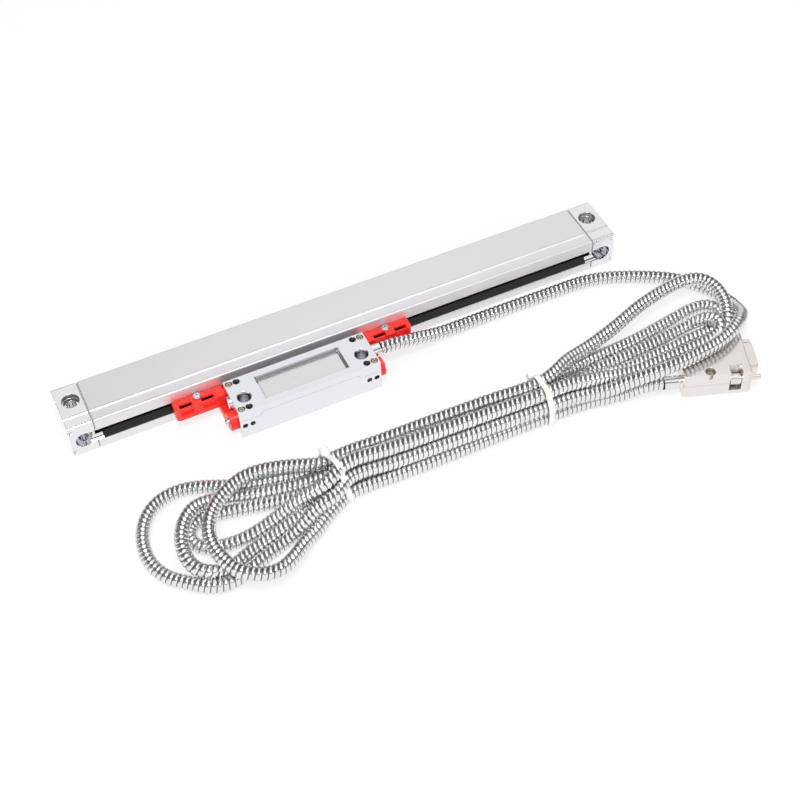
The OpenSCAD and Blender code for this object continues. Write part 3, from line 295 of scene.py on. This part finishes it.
def carried_frames(line):
    """Two cross directions at each point, turned no more than the bends need."""
    ahead = np.gradient(line, axis=0)
    ahead /= np.linalg.norm(ahead, axis=1)[:, None]
    side = np.cross(ahead[0], [0, 0, 1.0])
    sides = []
    for t in ahead:
        side = side - t * np.dot(side, t)
        side = side / np.linalg.norm(side)
        sides.append(side)
    sides = np.array(sides)
    return sides, np.cross(sides, ahead)


frame_step = 0.5
fine = smooth_line(line, frame_step)
sides, tops = carried_frames(fine)

# %% A tube whose rows follow a helix


def rib_mesh(name, line, sides, tops, pitch, around, profile, inward=False):
    """A helical rib round the line. profile holds (part of the pitch, radius) for each row."""
    length = (len(line) - 1) * frame_step
    turns = int(length / pitch) - 1
    part = np.tile([p[0] for p in profile], turns) + np.repeat(np.arange(turns), len(profile))
    radius = np.tile([p[1] for p in profile], turns)
    column = np.arange(around)
    s = (part[:, None] + column[None] / around) * pitch
    s = np.minimum(s, length)
    at = np.minimum((s / frame_step).astype(int), len(line) - 2)
    between = (s / frame_step - at)[..., None]
    centre = line[at] * (1 - between) + line[at + 1] * between
    side = sides[at] * (1 - between) + sides[at + 1] * between
    top = tops[at] * (1 - between) + tops[at + 1] * between
    angle = 2 * np.pi * column / around
    out = side * np.cos(angle)[None, :, None] + top * np.sin(angle)[None, :, None]
    points = centre + radius[:, None, None] * out
    rows = len(part)
    index = np.arange(rows * around).reshape(rows, around)
    faces = [np.stack([index[:-1, :-1], index[:-1, 1:], index[1:, 1:], index[1:, :-1]], -1)
             .reshape(-1, 4)]
    skip = len(profile)
    joined = np.stack([index[:-1 - skip, -1], index[skip:-1, 0], index[skip + 1:, 0],
                       index[1:-skip, -1]], -1)
    faces = np.vstack(faces + [joined])
    if inward:
        faces = faces[:, ::-1]
    mesh = bpy.data.meshes.new(name)
    mesh.from_pydata((points.reshape(-1, 3) * 0.001).tolist(), [], faces.tolist())
    mesh.polygons.foreach_set("use_smooth", [True] * len(mesh.polygons))
    # how deep each row lies in the gap between turns; the hose's steel reads it for its painted
    # shade and its roughness
    gap = mesh.attributes.new("gap", "FLOAT", "POINT")
    deep = (radius.max() - radius[:, None]) / (radius.max() - radius.min())
    gap.data.foreach_set("value", np.repeat(deep, around, axis=1).ravel().astype(np.float32))
    return mesh


print("rib ready")

# %% Wind the hose
hose_pitch = 2.7
hose_around = 14
hose_profile = [(0.00, 3.20), (0.10, 3.60), (0.42, 3.80), (0.74, 3.64), (0.88, 3.22)]
# the helix ends on a slant, so its last turn runs on into the plug's ferrule
extra = int(1.8 * hose_pitch / frame_step) - 1
onward = (fine[-1] - fine[-2]) * np.arange(1, extra + 1)[:, None]
rib_line = np.vstack([fine, fine[-1] + onward])
rib_sides = np.vstack([sides, np.repeat(sides[-1:], extra, 0)])
rib_tops = np.vstack([tops, np.repeat(tops[-1:], extra, 0)])
hose_mesh = rib_mesh("armoured_hose", rib_line, rib_sides, rib_tops,
                     hose_pitch, hose_around, hose_profile)
hose = bpy.data.objects.new("armoured_hose", hose_mesh)
bpy.context.scene.collection.objects.link(hose)
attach(hose, "reader_head")
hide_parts("cable_lead", "cable_hank", "cable_tail")
print("hose mesh:", len(hose_mesh.vertices), "vertices")

# %% [markdown]
# ## The ties
# Two nylon cable ties hold the bundle. A tie is pulled tight, so its strap follows the outer
# strands as a belt does, with flat stretches between them. It could be a plain ring, but
# here the belt is the hull of the strands' circles, found from the same listed places, and the
# strap's section, its locking head and its cut end are built on that line.

# %% The belt's line round a bundle


def belt_line(slots, grow, count=96, lowest=0.75):
    """Points evenly round the hull of the strands' circles, grown by a little, in y and z."""
    radius = hose_d / 2 + grow
    points = sorted({(round(y + radius * math.cos(a), 4),
                      round(max(z + radius * math.sin(a), lowest), 4))
                     for _, y, z in slots.values() for a in np.linspace(0, 2 * math.pi, 49)})

    def bend(a, b, c):
        return (b[0] - a[0]) * (c[1] - a[1]) - (b[1] - a[1]) * (c[0] - a[0])

    def half(points):
        chain = []
        for p in points:
            while len(chain) > 1 and bend(chain[-2], chain[-1], p) <= 0:
                chain.pop()
            chain.append(p)
        return chain[:-1]

    hull = np.array(half(points) + half(points[::-1]))
    closed = np.vstack([hull, hull[:1]])
    along = np.r_[0, np.cumsum(np.linalg.norm(np.diff(closed, axis=0), axis=1))]
    places = np.linspace(0, along[-1], count, endpoint=False)
    return np.stack([np.interp(places, along, closed[:, k]) for k in range(2)], 1)


belts = {"left": belt_line(slots_left, 0.6), "right": belt_line(slots_right, 0.6)}
print("belts reach from", belts["left"].min(0).round(1), "to", belts["left"].max(0).round(1))

# %% A block with rounded edges


def rounded_block(bm, place, low, high, edge):
    """A block from corner low to corner high, in the directions of the matrix place."""
    made = bmesh.ops.create_cube(bm, size=1)["verts"]
    for v in made:
        v.co = place @ Vector(low[k] if v.co[k] < 0 else high[k] for k in range(3))
    edges = list({e for v in made for e in v.link_edges})
    bmesh.ops.bevel(bm, geom=edges, offset=edge, segments=3, profile=0.5, affect="EDGES")


print("block ready")

# %% Strap, head and cut end of a tie
bundle_y = -95


def make_tie(name, x, belt, lean, head_near, width=2.9, thick=1.0):
    """A strap on the belt's line with its locking head and cut end. Sizes are in millimetres.

    lean is how far the strap shifts along the bundle for each millimetre across it.
    """
    bm = bmesh.new()
    ahead = np.roll(belt, -1, 0) - np.roll(belt, 1, 0)
    out = np.stack([ahead[:, 1], -ahead[:, 0]], 1)
    out /= np.linalg.norm(out, axis=1)[:, None]
    w, t = width / 2, thick / 2
    section = [(-w, -t), (-w, t * 0.5), (-w + 0.3, t), (w - 0.3, t), (w, t * 0.5), (w, -t)]
    rings = [[bm.verts.new((x + lean * (y - bundle_y) + a, y + n[0] * b,
                            max(z + n[1] * b, 0.12)))
              for a, b in section] for (y, z), n in zip(belt, out)]
    for ring, after in zip(rings, rings[1:] + rings[:1]):
        for k in range(len(section)):
            m = (k + 1) % len(section)
            bm.faces.new((ring[k], ring[m], after[m], after[k]))
    i = int(np.linalg.norm(belt - np.array(head_near), axis=1).argmin())
    n = Vector((0, *out[i]))
    place = Matrix((Vector((1, 0, 0)), n.cross(Vector((1, 0, 0))), n)).transposed().to_4x4()
    place.translation = (x + lean * (belt[i][0] - bundle_y), *belt[i])
    # the locking head, the strap's cut end behind it, and three grip ribs on top
    rounded_block(bm, place, (-2.3, -2.6, -0.3), (2.3, 2.4, 3.3), 0.55)
    rounded_block(bm, place, (-w, 2.0, 1.0), (w, 4.2, 2.1), 0.25)
    for rib in (-1.4, -0.4, 0.6):
        rounded_block(bm, place, (-1.5, rib, 3.0), (1.5, rib + 0.5, 3.55), 0.12)
    bmesh.ops.recalc_face_normals(bm, faces=bm.faces)
    bm.transform(Matrix.Scale(0.001, 4))
    mesh = bpy.data.meshes.new(name)
    bm.to_mesh(mesh)
    bm.free()
    tie = bpy.data.objects.new(name, mesh)
    bpy.context.scene.collection.objects.link(tie)
    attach(tie, "reader_head")
    return tie


tie_left = make_tie("strap_left", -45.4, belts["left"], -0.11, (-83.5, 14))
tie_right = make_tie("strap_right", 69.8, belts["right"], 0.0, (-86.5, 15.5))
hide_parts("cable_tie_left")
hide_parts("cable_tie_right")
print("ties:", len(tie_left.data.vertices), len(tie_right.data.vertices), "vertices")

# %% [markdown]
# ## Threads in the head
# The two large holes in the reader head are tapped, and the thread's crests catch the light.
# A bump texture could fake them, but the crests stand in rows that the eye follows down the
# hole, so they get the same helical rows as the hose, turned inward.

# %% Threads in the two large holes
thread_at = {"left": -70.5, "right": -4.1}
thread_y, thread_floor, thread_pitch = -33.4, 2.0, 1.25
thread_profile = [(0.0, 3.38), (0.42, 3.05), (0.58, 3.05)]
depth_line = np.array([[0, 0, thread_floor + frame_step * k] for k in range(34)])
across = np.tile([1.0, 0, 0], (len(depth_line), 1))
threads = []
for side, x in thread_at.items():
    mesh = rib_mesh("thread_" + side, depth_line + [x, thread_y, 0], across,
                    np.cross(across, [0, 0, 1.0]), thread_pitch, 24, thread_profile, inward=True)
    thread = bpy.data.objects.new("thread_" + side, mesh)
    bpy.context.scene.collection.objects.link(thread)
    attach(thread, "reader_head")
    threads.append(thread)
print("threads:", [len(t.data.vertices) for t in threads], "vertices")

# %% [markdown]
# ## The lead as a free cord
# The hose isn't bolted down like the rest: it is a fixed length of something flexible. Its
# length could be left to whoever uses the model; a cord that states its length, its
# thickness and what hangs on it can be laid in another way later.

# %% [markdown]
# ## Mixing finishes
# A finish is a small network of shader nodes. It could be wired node by node, which is long to
# read. Here a Level is one value on its way through the network, and ordinary Python signs add
# the maths nodes. Everything else goes through one method, node(), which takes the node's type,
# its settings and the values of its sockets.

# %% A value that Python signs can work on


class Level:
    """One socket's value. Its operators add maths nodes, and node() adds any other node."""

    def __init__(self, tree, socket=None):
        self.tree, self.socket = tree, socket

    def node(self, kind, out=0, settings=None, sockets=None):
        made = self.tree.nodes.new(kind)
        for name, value in (settings or {}).items():
            if name == "stops":
                ramp = made.color_ramp
                for place, _ in value[1:-1]:
                    ramp.elements.new(place)
                for stop, (place, shade) in zip(ramp.elements, value):
                    stop.position, stop.color = place, (shade, shade, shade, 1)
            else:
                setattr(made, name, value)
        for key, value in (sockets or {}).items():
            if isinstance(value, Level):
                self.tree.links.new(value.socket, made.inputs[key])
            else:
                made.inputs[key].default_value = value
        return Level(self.tree, made.outputs[out])

    def maths(self, operation, *values):
        return self.node("ShaderNodeMath", settings={"operation": operation},
                         sockets=dict(enumerate(values)))

    def __add__(self, other): return self.maths("ADD", self, other)
    def __radd__(self, other): return self.maths("ADD", other, self)
    def __sub__(self, other): return self.maths("SUBTRACT", self, other)
    def __rsub__(self, other): return self.maths("SUBTRACT", other, self)
    def __mul__(self, other): return self.maths("MULTIPLY", self, other)
    def __rmul__(self, other): return self.maths("MULTIPLY", other, self)

    def clipped(self, low=0.0, high=1.0):
        return self.maths("MINIMUM", self.maths("MAXIMUM", self, low), high)


print("maths ready")

# %% Everyday helpers for a finish


def start(name):
    """A new material with its surface shader. Returns the material, its tree and the shader."""
    material = bpy.data.materials.new(name)
    material.use_nodes = True
    shader = material.node_tree.nodes["Principled BSDF"]
    return material, Level(material.node_tree), shader


def places(tree, stretch=(1, 1, 1)):
    """Coordinates on the object in millimetres, stretched along each direction."""
    coordinates = tree.node("ShaderNodeTexCoord", out="Object")
    return tree.node("ShaderNodeVectorMath", settings={"operation": "MULTIPLY"},
                     sockets={0: coordinates, 1: [1000 * s for s in stretch]})


def noise(tree, where, scale=1.0, detail=2.0, rough=0.5):
    return tree.node("ShaderNodeTexNoise", sockets={"Vector": where, "Scale": scale,
                                                    "Detail": detail, "Roughness": rough})


def blend(tree, amount, first, second):
    """A colour between two colours."""
    first, second = [c if isinstance(c, Level) else (*c, 1) for c in (first, second)]
    return tree.node("ShaderNodeMix", out=2, settings={"data_type": "RGBA"},
                     sockets={0: amount, 6: first, 7: second})


def feed(tree, shader, **inputs):
    """Connects or sets the shader's sockets; an underscore in a name stands for a space."""
    for name, value in inputs.items():
        socket = shader.inputs[name.replace("_", " ")]
        if isinstance(value, Level):
            tree.tree.links.new(value.socket, socket)
        else:
            socket.default_value = (*value, 1) if isinstance(value, tuple) else value


def bumped(tree, height, edge_mm=0.0):
    """A bump of a height in millimetres, over hard edges rounded by edge_mm if that is given."""
    sockets = {"Height": height, "Strength": 1.0, "Distance": 0.001}
    if edge_mm:
        sockets["Normal"] = tree.node("ShaderNodeBevel", settings={"samples": 6},
                                      sockets={"Radius": edge_mm * 0.001})
    return tree.node("ShaderNodeBump", sockets=sockets)


finishes = {}
print("helpers ready")

# %% [markdown]
# ## Bare and plated metal
# Most of the object is metal, and metal is told apart by its grain and by how sharply it
# mirrors. The body was pressed through a die and anodised, which leaves fine lines along it.
# The end caps are polished, the head and hood are plated castings with a faint ripple, and
# screws are turned. One recipe covers them: a colour that wanders a little, a grain stretched
# along the tool's path, and smears that change the gloss.

# %% A recipe for metal


def metal(name, colour, rough, grain=(1, 1, 1), grain_depth=0.004, wander=0.03, smear=0.05,
          ripple=0.0, edge=0.0):
    """A metal with a grain stretched along the tool's path. Depths and edge in millimetres."""
    material, tree, shader = start(name)
    fine_grain = noise(tree, places(tree, grain), 1.0, 3.0, 0.6)
    cloud = noise(tree, places(tree, (0.06, 0.06, 0.06)), 1.0, 4.0, 0.55)
    dark = tuple(c * (1 - 2 * wander) for c in colour)
    light = tuple(min(c * (1 + wander), 1) for c in colour)
    shade = (cloud * 0.5 + fine_grain * 0.5).clipped()
    height = fine_grain * grain_depth
    if ripple:
        height = height + noise(tree, places(tree, (0.35, 0.35, 0.35)), 1.0, 1.0) * ripple
    gloss = rough + (cloud - 0.5) * smear + (fine_grain - 0.5) * smear * 0.6
    feed(tree, shader, Base_Color=blend(tree, shade, dark, light), Metallic=1.0,
         Roughness=gloss.clipped(0.03),
         Normal=bumped(tree, height, edge))
    finishes[name] = material
    return material


metal("body_aluminium", (0.86, 0.835, 0.86), 0.56, grain=(0.02, 5.0, 5.0),
      grain_depth=0.0020, wander=0.02, edge=0.5)
metal("cap_chrome", (0.84, 0.83, 0.86), 0.07, grain=(1.2, 1.2, 1.2), grain_depth=0.0006,
      wander=0.02, smear=0.03, ripple=0.004, edge=0.3)
metal("head_metal", (0.83, 0.83, 0.88), 0.16, grain=(0.05, 2.5, 2.5), grain_depth=0.0010,
      wander=0.02, ripple=0.004, edge=0.25)
metal("hood_metal", (0.84, 0.795, 0.775), 0.24, grain=(0.8, 0.8, 0.8), grain_depth=0.0030,
      wander=0.04, smear=0.08, ripple=0.010, edge=0.3)
metal("ferrule_metal", (0.80, 0.80, 0.81), 0.16, grain=(6.0, 0.5, 6.0), grain_depth=0.0010)
metal("screw_steel", (0.74, 0.74, 0.76), 0.20, grain=(3.0, 3.0, 3.0), grain_depth=0.0020,
      wander=0.05, smear=0.08)
metal("screw_brass", (0.58, 0.52, 0.38), 0.26, grain=(3.0, 3.0, 3.0), grain_depth=0.0020,
      wander=0.05, smear=0.08)
metal("screw_dark", (0.10, 0.10, 0.11), 0.30, grain=(3.0, 3.0, 3.0), grain_depth=0.0030,
      wander=0.10, smear=0.10)
metal("label_metal", (0.76, 0.75, 0.75), 0.28, grain=(0.03, 6.0, 6.0), grain_depth=0.0025,
      smear=0.06)
metal("inner_steel", (0.74, 0.74, 0.75), 0.18, grain=(4.0, 0.4, 4.0), grain_depth=0.0010)
metal("contact_gold", (0.90, 0.68, 0.30), 0.16, grain=(2.0, 2.0, 2.0), grain_depth=0.0010,
      wander=0.04)
print("metals:", len(finishes))

# %% The hose's steel
material, tree, shader = start("hose_steel")
gap = tree.node("ShaderNodeAttribute", out="Fac", settings={"attribute_name": "gap"})
scratch = noise(tree, places(tree, (1.5, 1.5, 1.5)), 1.0, 3.0)
cloud = noise(tree, places(tree, (0.03, 0.03, 0.03)), 1.0, 3.0)
steel = blend(tree, cloud, (0.76, 0.755, 0.76), (0.86, 0.855, 0.86))
# painted shade: deep in the gap between turns the steel's colour turns dark, where shade falls
painted_gap_shade = ((gap - 0.6) * 2.5).clipped()
feed(tree, shader, Base_Color=blend(tree, painted_gap_shade, steel, (0.16, 0.155, 0.15)), Metallic=1.0,
     Roughness=(0.09 + scratch * 0.07 + gap * 0.12).clipped(),
     Normal=bumped(tree, scratch * 0.004))
finishes["hose_steel"] = material
hose.data.materials.append(material)
for thread in threads:
    thread.data.materials.append(finishes["head_metal"])
print("hose dressed")

# %% [markdown]
# ## Plastics, rubber, glass and boards
# The brackets are moulded in red plastic with a soft shine, the lips are black rubber, polished
# where the blade slides, and the ties are milky nylon. Inside, the boards are green
# under their solder mask, the glass is clear with ground edges, and the carriage is painted
# black. Each gets its colour from two near shades and its surface from a fine grain.

# %% A recipe for moulded pieces


def moulded(name, dark, light, rough, grain=1.5, depth=0.004, patches=0.08, **constants):
    """Plastic or rubber with a fine moulded grain. Depth is in millimetres."""
    material, tree, shader = start(name)
    fine_grain = noise(tree, places(tree, (grain, grain, grain)), 1.0, 4.0, 0.6)
    cloud = noise(tree, places(tree, (patches, patches, patches)), 1.0, 3.0)
    shade = (cloud * 0.7 + fine_grain * 0.3).clipped()
    feed(tree, shader, Base_Color=blend(tree, shade, dark, light),
         Roughness=(rough + (fine_grain - 0.5) * 0.12 + (cloud - 0.5) * 0.08).clipped(0.04),
         Normal=bumped(tree, fine_grain * depth), **constants)
    finishes[name] = material
    return material


moulded("red_plastic", (0.88, 0.018, 0.012), (0.98, 0.035, 0.024), 0.32, 1.6, 0.004)
moulded("seal_rubber", (0.003, 0.003, 0.003), (0.009, 0.009, 0.010), 0.20, 1.2, 0.004,
        Specular_IOR_Level=0.35)
moulded("gasket_grey", (0.36, 0.36, 0.37), (0.48, 0.48, 0.49), 0.55, 1.2, 0.004)
moulded("tie_nylon", (0.92, 0.89, 0.83), (0.97, 0.96, 0.92), 0.38, 1.0, 0.004,
        Subsurface_Weight=0.2, Subsurface_Scale=0.002)
moulded("insulator_black", (0.014, 0.014, 0.015), (0.030, 0.030, 0.032), 0.42, 1.4, 0.004)
moulded("carriage_metal", (0.016, 0.016, 0.017), (0.034, 0.034, 0.036), 0.45, 1.8, 0.006)
moulded("lamp_clear", (0.82, 0.80, 0.70), (0.95, 0.93, 0.86), 0.08, 0.8, 0.001,
        Transmission_Weight=0.85)
moulded("glass", (0.62, 0.78, 0.70), (0.80, 0.92, 0.86), 0.05, 0.6, 0.0005,
        Transmission_Weight=0.9)
tie_left.data.materials.append(finishes["tie_nylon"])
tie_right.data.materials.append(finishes["tie_nylon"])
print("moulded:", len(finishes))

# %% Circuit boards, with copper tracks under the green mask
material, tree, shader = start("board_green")
tracks = tree.node("ShaderNodeTexVoronoi", out="Distance",
                   settings={"feature": "DISTANCE_TO_EDGE", "distance": "MANHATTAN"},
                   sockets={"Vector": places(tree, (0.5, 0.5, 0.5)), "Scale": 1.0,
                            "Randomness": 0.7})
track = ((0.10 - tracks) * 30).clipped()
weave = noise(tree, places(tree, (3, 3, 3)))
feed(tree, shader, Base_Color=blend(tree, track, (0.010, 0.10, 0.035), (0.04, 0.25, 0.09)),
     Roughness=(0.26 + weave * 0.08).clipped(),
     Normal=bumped(tree, track * 0.03 + weave * 0.004))
finishes["board_green"] = material
print("board ready")

# %% [markdown]
# ## Dressing the frame
# Each piece of the frame already says which finish it takes, as a parts list does. The finishes
# could be set by hand, piece by piece. Reading the list keeps both in step when it changes.

# %% Give every piece of the frame its finish
slot_of = {piece["node"]: piece["material_slot"] for piece in frame["record"]["subparts"]}
for name, piece in frame["nodes"].items():
    for slot in piece.material_slots:
        slot.material = finishes[slot_of[name]]
print("dressed", len(frame["nodes"]), "nodes with", len(finishes), "finishes")

# %% [markdown]
# ## The studio
# Bright metal shows what stands round it, so the room matters as much as the lamps. The floor
# is white paper, seen white by the camera and in reflections, and it keeps the shadow. The room
# is bright at its foot, in front and overhead, with a dark place where the camera and its
# operator stand, which gives the metal its dark lines. It could be built from card, but a
# world that depends on direction alone does the same.

# %% Floor
floor_mesh = bpy.data.meshes.new("floor")
bm = bmesh.new()
bmesh.ops.create_grid(bm, x_segments=2, y_segments=2, size=6)
bm.to_mesh(floor_mesh)
bm.free()
floor = bpy.data.objects.new("floor", floor_mesh)
floor.location.z = -0.0002
bpy.context.scene.collection.objects.link(floor)
material, tree, shader = start("floor_paper")
ray = tree.node("ShaderNodeLightPath", out="Is Camera Ray")
glossy = Level(tree.tree, ray.socket.node.outputs["Is Glossy Ray"])
through = Level(tree.tree, ray.socket.node.outputs["Is Transmission Ray"])
seen = (ray + glossy + through).clipped()
feed(tree, shader, Base_Color=(0.93, 0.93, 0.93), Roughness=0.9, Specular_IOR_Level=0.0)
glow = tree.node("ShaderNodeEmission", sockets={"Color": (1, 1, 1, 1), "Strength": 1.0})
mixed = tree.node("ShaderNodeMixShader",
                  sockets={0: seen * 0.78, 1: Level(tree.tree, shader.outputs[0]), 2: glow})
output = material.node_tree.nodes["Material Output"]
tree.tree.links.new(mixed.socket, output.inputs["Surface"])
floor_mesh.materials.append(material)
print("floor is", floor.dimensions.x, "m wide")

# %% Room
world = bpy.data.worlds.new("studio_room")
bpy.context.scene.world = world
world.use_nodes = True
tree = Level(world.node_tree)
toward = tree.node("ShaderNodeTexCoord", out="Generated")
height = tree.node("ShaderNodeSeparateXYZ", out="Z", sockets={0: toward})
ahead = tree.node("ShaderNodeVectorMath", out="Value", settings={"operation": "DOT_PRODUCT"},
                  sockets={0: toward, 1: [float(v) for v in forward]})
overhead = ((height - 0.83) * 18).clipped()
front_wall = ((-0.12 - ahead) * 9).clipped() * ((0.68 - height) * 18).clipped()
foot = ((0.10 - height) * 12).clipped()
room = 0.14 + (overhead * 0.80 + front_wall * 0.85 + foot * 0.6).clipped(0, 0.9)
shine = tree.node("ShaderNodeBackground", sockets={"Color": (1, 1, 1, 1), "Strength": room})
tree.tree.links.new(shine.socket, world.node_tree.nodes["World Output"].inputs["Surface"])
print("room ready")

# %% [markdown]
# ## The lamps
# One broad soft panel hangs behind the object on the right and lays an even shine on every flat
# top. A smaller disc hangs above in front, and lights the red plastic and the ties. Sun and spot
# lamps would give hard edges to the shines, so both are area lamps.

# %% Helpers for the lamps
middle_of_object = (0, -0.05, 0)


def lamp(name, place, aim, size, power):
    """A soft disc that looks at a point."""
    data = bpy.data.lights.new(name, "AREA")
    data.shape, data.size, data.energy = "DISK", size, power
    made = bpy.data.objects.new(name, data)
    made.location = place
    made.rotation_euler = (Vector(aim) - Vector(place)).to_track_quat("-Z", "Y").to_euler()
    bpy.context.scene.collection.objects.link(made)
    return made


def panel(name, azimuth, elevation, distance, width, height, brightness):
    """A lit rectangular panel that faces the object. At brightness 1 it would show as white."""
    a, e = math.radians(azimuth), math.radians(elevation)
    place = Vector((math.sin(a) * math.cos(e), math.cos(a) * math.cos(e), math.sin(e))) * distance
    made = lamp(name, place, middle_of_object, width, brightness * math.pi * width * height)
    made.data.shape, made.data.size_y = "RECTANGLE", height
    return made


print("lamp helpers ready")

# %% Hang the lamps
panel("soft_panel_behind", azimuth=30, elevation=50, distance=1.5, width=1.35, height=1.15,
      brightness=0.81)
lamp("front_fill", place=(-0.25, -0.62, 1.85), aim=middle_of_object, size=0.7, power=21)
